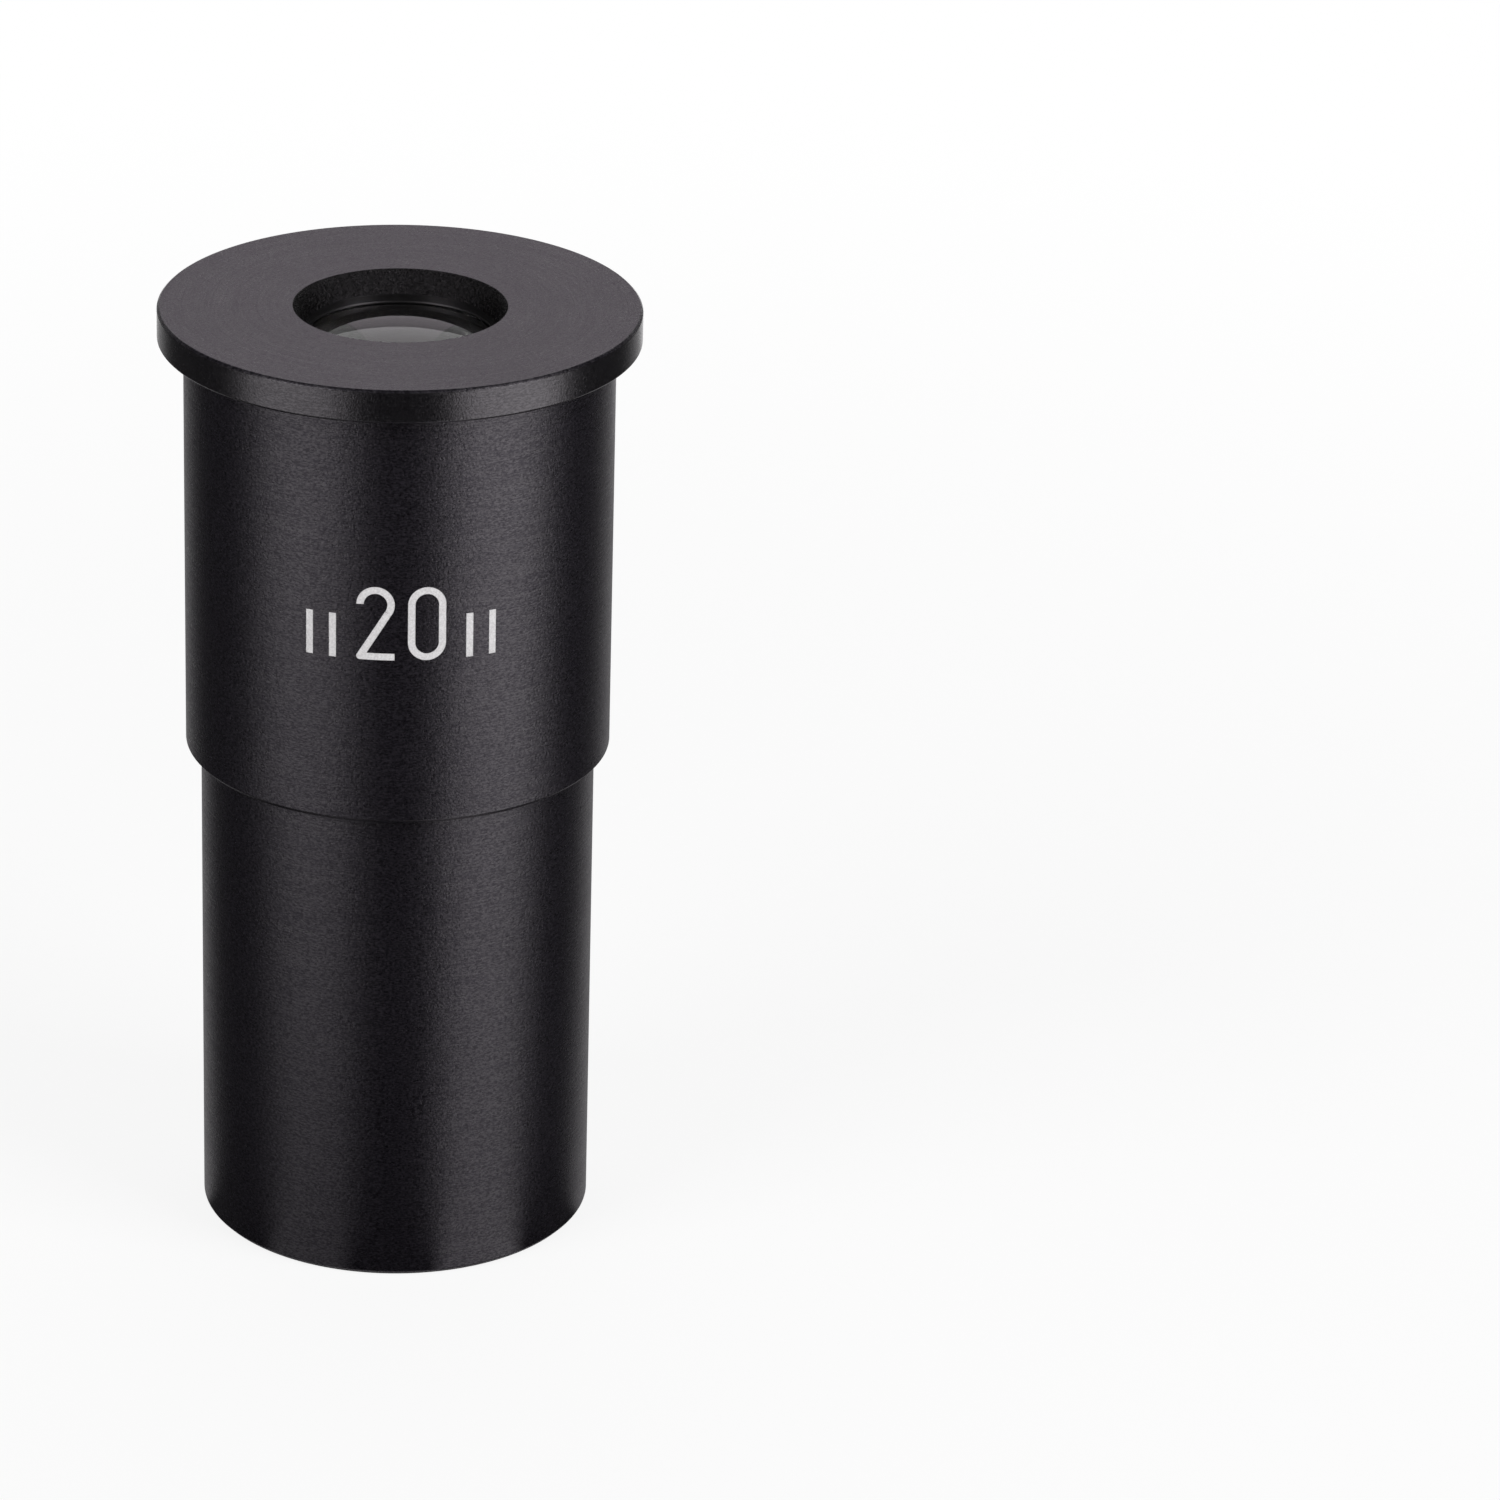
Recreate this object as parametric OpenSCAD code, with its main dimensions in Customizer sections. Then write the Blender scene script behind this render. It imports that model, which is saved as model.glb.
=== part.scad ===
// Eyepiece for a 23.2 mm tube. Two turned housings screw together: the head
// carries the cemented eye lens, the barrel carries the field lens and stop.
// The axis is Z, the barrel's bottom rim is at Z = 0, the eye looks in from +Z.

/* [Barrel] */
// Outside diameter of the barrel, which slides into the tube
barrel_d = 23.2; // [18:0.1:30]
// Length of barrel below the head, from the bottom rim to the shoulder
barrel_len = 29.8; // [22:0.1:45]
// Wall of the barrel around the spacer tube and the field stop
barrel_wall = 1.57; // [1.2:0.01:2.4]
// Chamfer on the edges of the bottom rim
barrel_chamfer = 0.25; // [0.1:0.05:0.6]

/* [Head] */
// Length of the head, from its lower face to its top face
head_len = 27.2; // [23:0.1:45]
// Step from the barrel out to the sleeve, the rim that rests on the tube
sleeve_step = 0.9; // [0.5:0.05:3]
// Step from the sleeve out to the flange
flange_step = 1.5; // [0.5:0.05:5]
// Thickness of the flange
flange_t = 2.0; // [1:0.1:4]
// Bevel on the outer edges of the head
head_bevel = 0.15; // [0.05:0.05:0.4]
// Height of the thick end that holds the eye lens, below the top face
lens_cell_h = 8.8; // [7.5:0.1:12]

/* [Eye hole] */
// Diameter of the eye hole at the top face
eye_hole_d = 12.4; // [9:0.1:15]
// Depth of the cone below the top face
eye_cone_depth = 1.3; // [0.5:0.05:2]
// Angle of the cone from the axis
eye_cone_angle = 30; // [15:1:40]
// Length of the straight lip below the cone, which the lens bears on
eye_lip_len = 0.6; // [0.3:0.05:1.2]

/* [Screw joint] */
// Pitch of the thread between the head and the barrel
thread_pitch = 0.75; // [0.5:0.05:1]
// Depth of the thread
thread_depth = 0.46; // [0.3:0.01:0.6]
// Width of the step from the barrel in to the thread
thread_shoulder = 0.85; // [0.6:0.05:1.5]
// Height of the plain pilot that the head's mouth drops over
pilot_h = 0.8; // [0.5:0.1:1.5]
// Step from the barrel in to the pilot
pilot_step = 0.2; // [0.16:0.01:0.4]
// Radial clearance of the head's mouth over the barrel
mouth_clear = 0.02; // [0.01:0.01:0.1]
// Length of the threaded neck above the pilot
neck_len = 5.4; // [4.4:0.1:8]
// Length of plain neck at each end of the thread
thread_runout = 0.5; // [0.3:0.1:0.8]
// Step from the thread out to the wide bore above it
relief_step = 0.25; // [0.1:0.05:0.5]
// Wall of the neck under the thread
neck_wall = 1.0; // [0.8:0.05:1.6]
// Radial clearance of the thread
thread_clear = 0.08; // [0.06:0.01:0.12]
// Clearance along the axis on each flank of the thread
flank_clear = 0.05; // [0.04:0.01:0.08]

/* [Eye lens] */
// Width of the seat under the lip, from the lip out to the lens's edge
eye_seat_w = 1.05; // [0.6:0.05:2]
// Radius of the front face and of the cemented face
eye_front_r = 17.5; // [14:0.1:40]
// Radius of the rear face
eye_rear_r = 110; // [60:1:400]
// Thickness of the front lens at its edge
crown_edge_t = 1.1; // [0.8:0.1:2]
// Thickness of the rear lens on the axis
flint_mid_t = 1.4; // [1:0.1:2.2]
// Thickness of the cement between the two lenses
cement_t = 0.02; // [0.01:0.01:0.05]
// Width of the flat ground on the rear lens's front edge
flint_flat_w = 0.15; // [0.05:0.05:0.4]

/* [Field lens and stop] */
// Radius of the curved face of the field lens
field_lens_r = 21.2; // [16:0.1:60]
// Thickness of the field lens at its edge
field_edge_t = 1.2; // [0.8:0.1:2.5]
// Height of the field lens's flat face above the bottom rim
field_face_h = 8.0; // [6.5:0.1:10]
// Distance from the shoulder down to the edge of the field stop
stop_drop = 10.0; // [8:0.1:12]
// Width of the field stop's rim, from its opening to its edge
stop_rim_w = 1.6; // [0.9:0.1:5]
// Thickness of the field stop
stop_t = 0.5; // [0.3:0.05:1]
// Thickness of the field stop at its sharp edge
stop_edge_t = 0.1; // [0.05:0.05:0.25]
// Wall of the spacer tube
spacer_wall = 0.7; // [0.4:0.05:1]

/* [Retaining rings] */
// Height of the eye lens ring
eye_ring_h = 1.8; // [1.4:0.1:2.4]
// Height of the field lens ring
field_ring_h = 2.0; // [1.4:0.1:2.2]
// Width of the rings' walls, from bore to thread
ring_wall = 1.2; // [1:0.05:1.6]
// Width of the slots for the spanner
slot_w = 1.0; // [0.6:0.1:1.6]
// Depth of the slots for the spanner
slot_depth = 0.8; // [0.4:0.1:1]
// Step from a lens bore out to the thread of its ring
ring_step = 0.47; // [0.3:0.01:0.8]
// Height by which a ring's thread runs past the ring, towards the lens
ring_land = 0.12; // [0.05:0.01:0.3]

/* [Marking] */
// Height of the digits
digit_h = 4.5; // [2:0.1:6]
// Width of a digit, across its outside
digit_w = 2.2; // [1.4:0.1:3]
// Gap between the two digits
digit_gap = 0.75; // [0.4:0.05:1.5]
// Distance from one tick to the next
tick_pitch = 1.4; // [0.9:0.1:2]
// Height of the ticks beside the digits
tick_h = 2.7; // [1:0.1:6]
// Width of the engraved line
line_w = 0.43; // [0.25:0.01:0.6]
// Depth of the engraving
engrave_depth = 0.12; // [0.05:0.01:0.25]
// Height of the middle of the digits above the head's lower face
marking_h = 12.5; // [8:0.1:18]

/* [Fits] */
// Radial clearance of a lens or a spacer in its bore
lens_clear = 0.03; // [0.02:0.01:0.08]
// Radial clearance of a ring in its thread
ring_clear = 0.05; // [0.03:0.01:0.1]
// Gap along the axis at a curved seat
seat_gap = 0.03; // [0.02:0.01:0.05]

/* [Hidden] */
$fn = 96;
over = 1;           // how far a cut runs past the face it opens
thread_segs = 40;   // facets in one turn of the thread

// The two housings
barrel_r = barrel_d / 2;
sleeve_r = barrel_r + sleeve_step;
flange_r = sleeve_r + flange_step;
head_top = barrel_len + head_len;
head_bore_top = head_top - lens_cell_h;

// The screw joint, from the barrel's top edge upwards
pilot_r = barrel_r - pilot_step;
pilot_top = barrel_len + pilot_h;
mouth_r = barrel_r + mouth_clear;
neck_top = pilot_top + neck_len;
thread_r = barrel_r - thread_shoulder;
thread_root_r = thread_r - thread_depth;
neck_bore_r = thread_root_r - neck_wall;
relief_r = thread_r + thread_clear + relief_step;
relief_z = neck_top - thread_runout;

// The ridge of the thread, and the wider groove that it runs in
crest_w = thread_pitch / 8;
base_w = thread_pitch * 3 / 4;
groove_crest_w = crest_w + 2 * flank_clear;
groove_base_w = base_w + 2 * flank_clear;
thread_start = pilot_top + thread_runout + base_w / 2;
thread_turns = (neck_len - 2 * thread_runout - base_w) / thread_pitch;
lead_turns = 2;     // whole turns by which the groove starts below the ridge

// Eye hole and eye lens, from the top down
eye_hole_r = eye_hole_d / 2;
eye_lip_r = eye_hole_r - eye_cone_depth * tan(eye_cone_angle);
eye_cone_z = head_top - eye_cone_depth;
eye_lip_z = eye_cone_z - eye_lip_len;
eye_lens_r = eye_lip_r + eye_seat_w;
eye_bore_r = eye_lens_r + lens_clear;
crown_front_z = eye_lip_z - seat_gap + sag(eye_front_r, eye_lip_r);
crown_rear_z = crown_front_z - crown_edge_t - 2 * sag(eye_front_r, eye_lens_r);
flint_front_z = crown_rear_z - cement_t;
flint_edge_z = flint_front_z + sag(eye_front_r, eye_lens_r - flint_flat_w);
flint_rear_z = flint_front_z - flint_mid_t;
eye_thread_r = eye_bore_r + ring_step;
eye_ring_r = eye_thread_r - ring_clear;
eye_ring_bore_r = eye_ring_r - ring_wall;
eye_ring_top = flint_rear_z + sag(eye_rear_r, eye_ring_bore_r) - seat_gap;
eye_ring_low = eye_ring_top - eye_ring_h;

// Field lens, spacer and stop, from the bottom up
spacer_bore_r = barrel_r - barrel_wall;
spacer_r = spacer_bore_r - lens_clear;
stop_z = barrel_len - stop_drop;
stop_low = stop_z - stop_t;
stop_open_r = spacer_r - stop_rim_w;
stop_bevel = stop_t - stop_edge_t;
field_front_z = field_face_h - field_edge_t - sag(field_lens_r, spacer_r);
field_thread_r = spacer_bore_r + ring_step;
field_ring_r = field_thread_r - ring_clear;
field_ring_bore_r = field_ring_r - ring_wall;
field_ring_top = field_front_z + sag(field_lens_r, field_ring_bore_r) - seat_gap;
field_ring_low = field_ring_top - field_ring_h;

// Marking, as distances round the sleeve from its middle
digit_x = (digit_w + digit_gap) / 2;
tick_x = digit_w + digit_gap / 2;
marking_z = barrel_len + marking_h;

// Height of a spherical face's cap at a radius from the axis
function sag(face_r, at_r) = face_r - sqrt(face_r * face_r - at_r * at_r);

// Height of the thread's ridge at a section, which fades in and out over a quarter turn
function ridge_share(i, last) = min(1, 4 * min(i, last - i) / thread_segs);

// A rod with a right-hand thread: plain ends at the root radius, one ridge between
module threaded_rod(root_r, crest_r, ridge_base, ridge_crest, z_low, z_first, turns, z_high) {
    segs = thread_segs;
    last = floor(turns * segs);
    step = 360 / segs;
    function at(r, i, z) = [r * cos(i * step), r * sin(i * step), z];
    function mid(i) = z_first + thread_pitch * i / segs;
    function tip(i) = root_r + (crest_r - root_r) * ridge_share(i, last);
    ridge = [for (i = [0 : last]) each [
        at(root_r, i, mid(i) - ridge_base / 2),
        at(tip(i), i, mid(i) - ridge_crest / 2),
        at(tip(i), i, mid(i) + ridge_crest / 2),
        at(root_r, i, mid(i) + ridge_base / 2)]];
    low = [for (j = [0 : segs - 1]) at(root_r, j, z_low)];
    high = [for (j = [0 : segs - 1]) at(root_r, j, z_high)];
    low_at = len(ridge);
    high_at = low_at + segs;
    function low_i(j) = low_at + j % segs;
    function high_i(j) = high_at + j % segs;
    function quad(a, b, c, d) = [[a, b, c], [a, c, d]];
    // The ridge's two flanks and its crest
    flanks = [for (i = [0 : last - 1], k = [0 : 2])
        each quad(4 * i + k, 4 * i + k + 1, 4 * i + k + 5, 4 * i + k + 4)];
    // The root between one turn and the next
    roots = [for (i = [0 : last - segs - 1])
        each quad(4 * i + 3, 4 * (i + segs), 4 * (i + segs) + 4, 4 * i + 7)];
    // The plain ends, and the panel where the ridge starts or stops in each
    low_side = [for (j = [0 : segs - 2]) each quad(low_i(j), 4 * j, 4 * j + 4, low_i(j + 1))];
    low_top = 4 * (segs - 1);
    low_panel = [
        [low_i(segs - 1), low_top, low_i(0)],
        [low_i(0), low_top, 0],
        for (k = [0 : 2]) [k, low_top, k + 1],
        [3, low_top, 4 * segs]];
    high_side = [for (i = [last - segs + 1 : last - 1])
        each quad(4 * i + 3, high_i(i), high_i(i + 1), 4 * i + 7)];
    high_foot = 4 * (last - segs + 1) + 3;
    high_panel = [
        [high_foot - 4, 4 * last, high_foot],
        for (k = [0 : 2]) [4 * last + k, 4 * last + k + 1, high_foot],
        [4 * last + 3, high_i(last), high_foot],
        [high_i(last), high_i(last + 1), high_foot]];
    caps = [
        [for (j = [0 : segs - 1]) low_at + j],
        [for (j = [segs - 1 : -1 : 0]) high_at + j]];
    polyhedron(points = concat(ridge, low, high),
        faces = concat(flanks, roots, low_side, low_panel, high_side, high_panel, caps));
}

// A round bar between two heights
module bar(r, z_low, z_high) {
    translate([0, 0, z_low])
        cylinder(r = r, h = z_high - z_low);
}

// The ball whose highest point gives a lens its upper face
module ball_below(face_r, z_pole) {
    translate([0, 0, z_pole - face_r])
        sphere(r = face_r);
}

// The ball whose lowest point gives a lens its lower face
module ball_above(face_r, z_pole) {
    translate([0, 0, z_pole + face_r])
        sphere(r = face_r, $fn = 96 + 4 * floor(face_r));
}

// Two slots across a ring's lower face, for the spanner
module spanner_slots(r, z_low) {
    translate([-r - over, -slot_w / 2, z_low - over])
        cube([2 * (r + over), slot_w, slot_depth + over]);
}

// A figure two, drawn with the engraved line, centred on the origin
module digit_two() {
    arc_r = (digit_w - line_w) / 2;
    arc_y = digit_h / 2 - line_w / 2 - arc_r;
    foot_y = -digit_h / 2 + line_w / 2;
    translate([0, arc_y])
        difference() {
            circle(r = arc_r + line_w / 2);
            circle(r = arc_r - line_w / 2);
            translate([-digit_w, -digit_w])
                square([digit_w, digit_w]);
            rotate(-35)
                translate([-digit_w, -2 * digit_w])
                    square([2 * digit_w, 2 * digit_w]);
        }
    arc_end = [arc_r * cos(-35), arc_y + arc_r * sin(-35)];
    foot_start = [-arc_r, foot_y];
    stroke(arc_end, foot_start);
    stroke(foot_start, [arc_r + line_w / 2, foot_y]);
}

// A nought, with straight sides and round ends
module digit_nought() {
    end_r = digit_w / 2;
    end_y = digit_h / 2 - end_r;
    difference() {
        stadium(end_r, end_y);
        stadium(end_r - line_w, end_y);
    }
}

// An upright shape with round ends
module stadium(r, end_y) {
    translate([-r, -end_y])
        square([2 * r, 2 * end_y]);
    for (side = [-1, 1])
        translate([0, side * end_y])
            circle(r = r);
}

// A straight line of the engraved width between two points
module stroke(from, to) {
    run = to - from;
    translate(from)
        rotate(atan2(run[1], run[0]))
            translate([0, -line_w / 2])
                square([norm(run), line_w]);
}

// One flat shape set on the side of the sleeve, a distance round it, through its surface
module on_sleeve(x) {
    rotate([0, 0, x / sleeve_r * 180 / PI])
        translate([0, -sleeve_r + over, marking_z])
            rotate([90, 0, 0])
                linear_extrude(2 * over)
                    children();
}

// The whole marking, as a shape that runs through the sleeve's surface
module marking_cutter() {
    on_sleeve(-digit_x)
        digit_two();
    on_sleeve(digit_x)
        digit_nought();
    for (side = [-1, 1], k = [1, 2])
        on_sleeve(side * (tick_x + k * tick_pitch))
            translate([-line_w / 2, -digit_h / 2])
                square([line_w, tick_h]);
}

// The marking, from the sleeve's surface down to the engraving's floor
module marking_inlay() {
    intersection() {
        marking_cutter();
        difference() {
            bar(sleeve_r, barrel_len, head_top - flange_t);
            bar(sleeve_r - engrave_depth, barrel_len - over, head_top);
        }
    }
}

// Flanged housing on the eye's side
module head_sleeve() {
    b = head_bevel;
    flange_low = head_top - flange_t;
    color([0.05, 0.05, 0.055])
        difference() {
            rotate_extrude()
                polygon([
                    [0, barrel_len],
                    [sleeve_r - b, barrel_len],
                    [sleeve_r, barrel_len + b],
                    [sleeve_r, flange_low],
                    [flange_r - b, flange_low],
                    [flange_r, flange_low + b],
                    [flange_r, head_top - b],
                    [flange_r - b, head_top],
                    [0, head_top]]);
            bar(mouth_r, barrel_len - over, pilot_top);
            // The thread's groove starts below the mouth and ends in the wide bore
            threaded_rod(thread_root_r + thread_clear, thread_r + thread_clear,
                groove_base_w, groove_crest_w, barrel_len - lead_turns * thread_pitch - over,
                thread_start - lead_turns * thread_pitch, thread_turns + lead_turns + 1,
                relief_z + 2 * thread_pitch);
            bar(relief_r, relief_z, head_bore_top);
            bar(eye_thread_r, head_bore_top - over, eye_ring_top + ring_land);
            bar(eye_bore_r, eye_ring_top, eye_lip_z);
            bar(eye_lip_r, eye_lip_z - over, eye_cone_z + over);
            translate([0, 0, eye_cone_z])
                cylinder(r1 = eye_lip_r, r2 = eye_hole_r, h = eye_cone_depth);
            bar(eye_hole_r, head_top, head_top + over);
            marking_inlay();
        }
}

// White paint that fills the engraved marking
module marking_fill() {
    color([0.9, 0.9, 0.9])
        marking_inlay();
}

// Front lens of the cemented pair, curved on both faces
module eye_lens_crown() {
    color([0.75, 0.82, 0.85, 0.5])
        intersection() {
            bar(eye_lens_r, crown_rear_z - over, crown_front_z + over);
            ball_below(eye_front_r, crown_front_z);
            ball_above(eye_front_r, crown_rear_z);
        }
}

// Rear lens of the cemented pair
module eye_lens_flint() {
    color([0.7, 0.78, 0.8, 0.5])
        difference() {
            intersection() {
                bar(eye_lens_r, flint_rear_z - over, flint_edge_z);
                ball_above(eye_rear_r, flint_rear_z);
            }
            ball_above(eye_front_r, flint_front_z);
        }
}

// Slotted ring that screws into the head and holds the eye lens
module eye_lens_ring() {
    color([0.08, 0.08, 0.085])
        difference() {
            bar(eye_ring_r, eye_ring_low, eye_ring_top);
            bar(eye_ring_bore_r, eye_ring_low - over, eye_ring_top + over);
            spanner_slots(eye_ring_r, eye_ring_low);
        }
}

// Tube that slides into the instrument, with the threaded neck on top
module barrel() {
    c = barrel_chamfer;
    color([0.05, 0.05, 0.055])
        difference() {
            union() {
                rotate_extrude()
                    polygon([
                        [0, 0],
                        [barrel_r - c, 0],
                        [barrel_r, c],
                        [barrel_r, barrel_len],
                        [0, barrel_len]]);
                bar(pilot_r, barrel_len - over, pilot_top);
                threaded_rod(thread_root_r, thread_r, base_w, crest_w, barrel_len - over,
                    thread_start, thread_turns, neck_top);
            }
            cylinder(r1 = field_thread_r + c, r2 = field_thread_r, h = c);
            bar(field_thread_r, c - over, field_ring_top + ring_land);
            bar(spacer_bore_r, 0, stop_z);
            bar(neck_bore_r, 0, neck_top + over);
        }
}

// Diaphragm whose sharp edge bounds the view
module field_stop() {
    color([0.06, 0.06, 0.06])
        difference() {
            bar(spacer_r, stop_low, stop_z);
            bar(stop_open_r, stop_low - over, stop_z + over);
            translate([0, 0, stop_low])
                cylinder(r1 = stop_open_r + stop_bevel, r2 = stop_open_r, h = stop_bevel);
        }
}

// Tube between the field stop and the field lens
module spacer_tube() {
    color([0.07, 0.07, 0.07])
        difference() {
            bar(spacer_r, field_face_h, stop_low);
            bar(spacer_r - spacer_wall, field_face_h - over, stop_z);
        }
}

// Plano-convex lens at the bottom of the barrel, curved side down
module field_lens() {
    color([0.75, 0.82, 0.85, 0.5])
        intersection() {
            bar(spacer_r, field_front_z - over, field_face_h);
            ball_above(field_lens_r, field_front_z);
        }
}

// Slotted ring that screws into the barrel and holds the field lens
module field_lens_ring() {
    color([0.08, 0.08, 0.085])
        difference() {
            bar(field_ring_r, field_ring_low, field_ring_top);
            bar(field_ring_bore_r, field_ring_low - over, field_ring_top + over);
            spanner_slots(field_ring_r, field_ring_low);
        }
}

head_sleeve();
marking_fill();
eye_lens_crown();
eye_lens_flint();
eye_lens_ring();
barrel();
field_stop();
spacer_tube();
field_lens();
field_lens_ring();
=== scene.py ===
import math

import bpy
from mathutils import Matrix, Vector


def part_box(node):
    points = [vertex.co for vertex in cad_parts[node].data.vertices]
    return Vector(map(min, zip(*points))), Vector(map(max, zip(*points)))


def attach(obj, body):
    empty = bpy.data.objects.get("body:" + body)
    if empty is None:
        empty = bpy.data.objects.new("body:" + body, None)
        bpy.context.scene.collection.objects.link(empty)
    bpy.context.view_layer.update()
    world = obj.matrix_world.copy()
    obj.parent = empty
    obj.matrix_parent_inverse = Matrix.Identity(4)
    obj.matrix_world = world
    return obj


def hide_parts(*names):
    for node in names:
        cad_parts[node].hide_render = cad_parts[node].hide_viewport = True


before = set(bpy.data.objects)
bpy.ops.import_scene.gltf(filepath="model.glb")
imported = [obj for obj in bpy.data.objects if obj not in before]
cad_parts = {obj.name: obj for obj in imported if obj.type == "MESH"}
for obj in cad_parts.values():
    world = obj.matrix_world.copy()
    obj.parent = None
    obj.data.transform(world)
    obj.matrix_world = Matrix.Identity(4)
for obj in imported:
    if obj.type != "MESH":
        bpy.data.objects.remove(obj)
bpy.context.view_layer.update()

# ---- Barrel -----------------------------------------------------------------------------
# The tube that slides into the instrument, turned from aluminium bar, bored through and
# threaded on its neck for the head. Bead-blasted, then anodised black: the fine turning
# lines still show through the blasted grain.
mm = 0.001
facets = 256  # round the axis of every turned piece
barrel_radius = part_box("barrel")[1].x
neck_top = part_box("barrel")[1].z
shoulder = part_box("head_sleeve")[0].z
rim_chamfer = 0.25 * mm
pilot_radius, pilot_height = barrel_radius - 0.2 * mm, 0.8 * mm
pilot_chamfer, neck_chamfer = 0.15 * mm, 0.1 * mm
pitch = 0.75 * mm
thread_depth = 0.46 * mm
thread_radius = barrel_radius - 0.85 * mm
root_radius = thread_radius - thread_depth
relief_radius = root_radius - 0.02 * mm
neck_bore = root_radius - 1.0 * mm
spacer_bore = barrel_radius - 1.57 * mm
ring_bore = spacer_bore + 0.47 * mm
stop_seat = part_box("field_stop")[1].z
thread_past_ring = 0.12 * mm
ring_thread_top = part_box("field_lens_ring")[1].z + thread_past_ring


def turned(name, profile):
    """Draws a ring up and down a profile of (radius, height), as a lathe tool follows it.

    A profile that ends where it began closes on itself. Any other starts with a small
    flat at one pole and ends at radius 0, the other pole.
    """
    bored = profile[0] == profile[-1]
    radius, height = profile[0]
    bpy.ops.object.select_all(action="DESELECT")
    bpy.ops.mesh.primitive_circle_add(
        vertices=facets, radius=radius, location=(0, 0, height),
        fill_type="NOTHING" if bored else "TRIFAN")
    piece = bpy.context.object
    piece.name = piece.data.name = name
    bpy.ops.object.transform_apply(location=True)
    bpy.ops.object.mode_set(mode="EDIT")
    bpy.ops.mesh.select_all(action="SELECT")
    if not bored:
        bpy.ops.mesh.region_to_loop()
    for next_radius, next_height in profile[1:]:
        bpy.ops.mesh.extrude_edges_move(TRANSFORM_OT_translate={"value": (0, 0, next_height - height)})
        if next_radius == 0:
            bpy.ops.mesh.merge(type="CENTER")
        else:
            share = next_radius / radius
            bpy.ops.transform.resize(value=(share, share, 1), center_override=(0, 0, next_height))
        radius, height = next_radius, next_height
    bpy.ops.mesh.select_all(action="SELECT")
    bpy.ops.mesh.remove_doubles(threshold=0.001 * mm)
    bpy.ops.mesh.normals_make_consistent(inside=False)
    bpy.ops.object.mode_set(mode="OBJECT")
    return piece


def apply(piece, kind, **settings):
    """Gives a piece one modifier and applies it."""
    bpy.ops.object.select_all(action="DESELECT")
    bpy.context.view_layer.objects.active = piece
    piece.select_set(True)
    modifier = piece.modifiers.new(kind.title(), kind)
    for setting, value in settings.items():
        setattr(modifier, setting, value)
    bpy.ops.object.modifier_apply(modifier=modifier.name)


def break_edges(piece, width, sharper_than=20):
    """Rounds by a hair the edges sharper than an angle, as a deburring tool leaves them."""
    apply(
        piece, "BEVEL", width=width, segments=2,
        limit_method="ANGLE", angle_limit=math.radians(sharper_than))


def cut(piece, tool):
    """Takes the tool's shape out of a piece. The tool is used up."""
    apply(piece, "BOOLEAN", operation="DIFFERENCE", solver="EXACT", object=tool)
    bpy.data.objects.remove(tool)


def pick(piece, wanted):
    """Opens a piece in edit mode with only those corners selected whose place is wanted."""
    bpy.ops.object.mode_set(mode="EDIT")
    bpy.ops.mesh.select_all(action="DESELECT")
    bpy.ops.object.mode_set(mode="OBJECT")
    for corner in piece.data.vertices:
        corner.select = wanted(corner.co)
    bpy.ops.object.mode_set(mode="EDIT")


def thread_tool(inner, outer, inner_width, outer_width, start, turns, lead):
    """A right-hand helical tool: its section is drawn at +X and swept round and up."""
    bpy.ops.object.select_all(action="DESELECT")
    middle = (inner + outer) / 2
    bpy.ops.mesh.primitive_plane_add(
        size=1, rotation=(math.pi / 2, 0, 0), location=(middle, 0, start))
    tool = bpy.context.object
    bpy.ops.object.transform_apply(location=True, rotation=True)
    bpy.ops.object.mode_set(mode="EDIT")
    bpy.ops.mesh.select_all(action="SELECT")
    bpy.ops.transform.resize(value=(outer - inner, 1, inner_width), center_override=(middle, 0, start))
    pick(tool, lambda place: place.x > middle)
    bpy.ops.transform.resize(value=(1, 1, outer_width / inner_width), center_override=(outer, 0, start))
    bpy.ops.mesh.select_all(action="SELECT")
    bpy.ops.mesh.delete(type="ONLY_FACE")
    bpy.ops.object.mode_set(mode="OBJECT")
    apply(tool, "SCREW", angle=math.tau, screw_offset=lead, iterations=turns, steps=facets // 2)
    bpy.ops.object.mode_set(mode="EDIT")
    bpy.ops.mesh.select_all(action="DESELECT")
    bpy.ops.mesh.select_mode(type="VERT")
    bpy.ops.mesh.select_non_manifold()
    bpy.ops.mesh.edge_face_add()
    bpy.ops.mesh.select_all(action="SELECT")
    bpy.ops.mesh.normals_make_consistent(inside=False)
    bpy.ops.object.mode_set(mode="OBJECT")
    return tool


def smooth(piece, angle=30):
    """Smooths what is round and keeps what is sharp. Large faces set the shading at their edges."""
    bpy.ops.object.select_all(action="DESELECT")
    bpy.context.view_layer.objects.active = piece
    piece.select_set(True)
    bpy.ops.object.shade_smooth_by_angle(angle=math.radians(angle))
    apply(piece, "WEIGHTED_NORMAL", mode="FACE_AREA", keep_sharp=True)


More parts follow.
